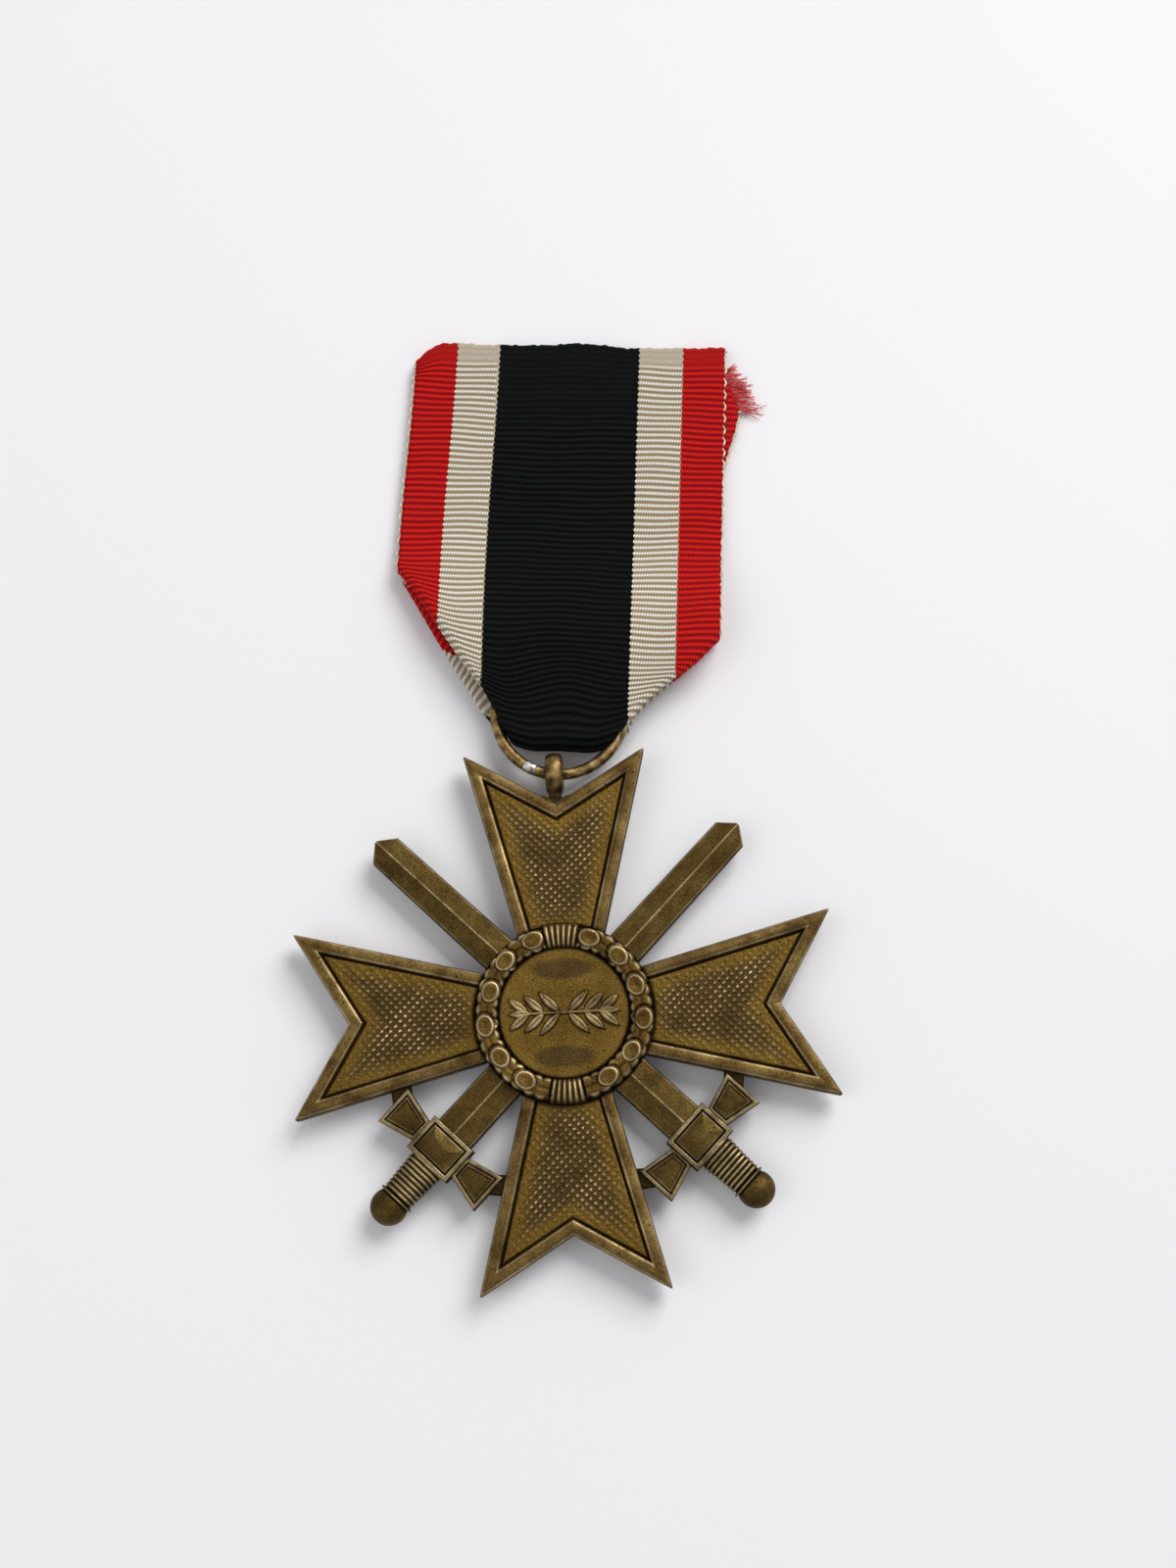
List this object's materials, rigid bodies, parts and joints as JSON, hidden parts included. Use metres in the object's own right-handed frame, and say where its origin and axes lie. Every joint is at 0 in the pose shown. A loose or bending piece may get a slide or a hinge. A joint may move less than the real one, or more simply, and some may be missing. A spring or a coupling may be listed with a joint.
{
  "type": "military service medal",
  "caption": "Four-armed service cross with crossed swords and a wreathed medallion, hung by a ring from a folded striped ribbon.",
  "frame": {"origin": "centre of the cross on its flat back boss, the plane that the medal lies on", "axes": "+Z out of the front face, +Y from the cross's centre towards the ribbon, +X to the right of the front face"},
  "size_m": [0.048, 0.0901, 0.004],
  "materials": {
    "bronze": "struck bronze with brown patina and worn, brighter edges",
    "bronze_field": "matt struck bronze, darker in the recesses",
    "brass_wire": "drawn wire, rubbed semi-bright",
    "solder": "grey soft solder",
    "ribbon": "ribbed grosgrain with red, cream, black, cream and red stripes"
  },
  "bodies": {
    "ribbon": {"ribbon": "ribbon"},
    "ring": {"suspension_ring": "brass_wire", "ring_solder": "solder"},
    "cross": {"cross_arms": "bronze", "left_sword": "bronze", "right_sword": "bronze", "front_medallion": "bronze_field", "front_wreath": "bronze", "front_sprig": "bronze", "back_medallion": "bronze_field", "back_wreath": "bronze", "eyelet": "brass_wire", "eyelet_solder": "solder"}
  },
  "joints": [
    {"name": "ring_sway", "type": "hinge", "parent": "ribbon", "child": "ring", "pos_m": [0.00071, 0.02776, 0.002], "axis": [0, 0, 1], "range_deg": [-12, 12]},
    {"name": "cross_swing", "type": "hinge", "parent": "ring", "child": "cross", "pos_m": [0, 0.02195, 0.002], "axis": [1, 0, 0], "range_deg": [-80, 80]}
  ]
}
